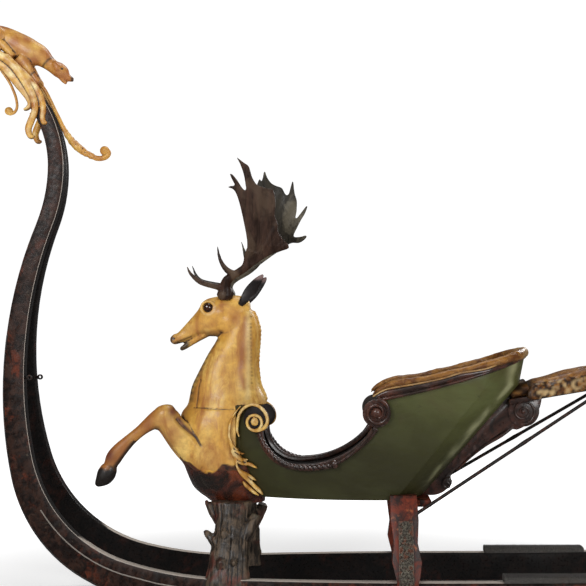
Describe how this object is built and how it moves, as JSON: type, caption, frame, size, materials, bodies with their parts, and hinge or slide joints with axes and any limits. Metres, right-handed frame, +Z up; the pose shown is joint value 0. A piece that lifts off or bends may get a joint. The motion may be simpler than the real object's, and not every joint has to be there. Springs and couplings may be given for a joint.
{
  "type": "ornate sleigh",
  "caption": "Carved one-horse sleigh with tall meeting runners and a finial, a stag in front, a boat-shaped seat body and a straddle seat behind for the driver.",
  "frame": {"origin": "on the ground, under the middle of the overall box", "axes": "+X to the rear of the sleigh, +Y to its right-hand side, +Z up"},
  "size_m": [2.3584, 0.592, 1.8924],
  "materials": {
    "runner_paint": "dark brown and black marbled paint with worn red patches, satin",
    "iron": "dark forged iron, slightly rusted",
    "bark_paint": "carved bark, dark brown paint worn to red",
    "post_paint": "worn red-orange paint over wood",
    "strap_iron": "grey patterned iron",
    "red_brown_paint": "dark red-brown paint",
    "green_paint": "olive green paint, satin, with faint cracks",
    "dark_wood": "dark brown stained and varnished carving",
    "gilding": "old yellow gilding and glaze over carved wood",
    "eye_gloss": "dark brown glass-like eye",
    "antler": "dark brown antler, rough",
    "leather": "worn orange-brown leather",
    "mat_bristle": "grey ribbed bristle mat"
  },
  "bodies": {
    "root": {"runner_left": "runner_paint", "runner_right": "runner_paint", "shoe_left": "iron", "shoe_right": "iron", "tow_eye_left": "iron", "tow_eye_right": "iron", "trunk_left": "bark_paint", "trunk_right": "bark_paint", "rear_post_left": "post_paint", "rear_post_right": "post_paint", "post_strap_left": "strap_iron", "post_strap_right": "strap_iron", "rear_bolster": "post_paint", "stag_belly": "red_brown_paint", "body_floor": "green_paint", "body_back": "green_paint", "body_side_left": "green_paint", "body_side_right": "green_paint", "body_front": "green_paint", "front_deck": "green_paint", "rim_left": "dark_wood", "rim_right": "dark_wood", "front_scroll_left": "gilding", "front_scroll_right": "gilding", "rear_scroll_left": "dark_wood", "rear_scroll_right": "dark_wood", "top_rail": "dark_wood", "back_padding": "leather", "seat_board": "green_paint", "seat_riser": "green_paint", "seat_cushion": "leather", "stag_chest": "gilding", "stag_neck": "gilding", "stag_head": "gilding", "stag_ears": "dark_wood", "stag_eyes": "eye_gloss", "foreleg_left": "gilding", "foreleg_right": "gilding", "antler_left": "antler", "antler_right": "antler", "acanthus_left": "gilding", "acanthus_right": "gilding", "saddle_bracket": "dark_wood", "saddle_beam": "dark_wood", "saddle_pad": "leather", "stay_left": "iron", "stay_right": "iron", "foot_mat_left": "mat_bristle", "foot_mat_right": "mat_bristle", "finial_foliage": "gilding", "finial_hound": "gilding", "finial_tendrils": "gilding"}
  },
  "joints": []
}
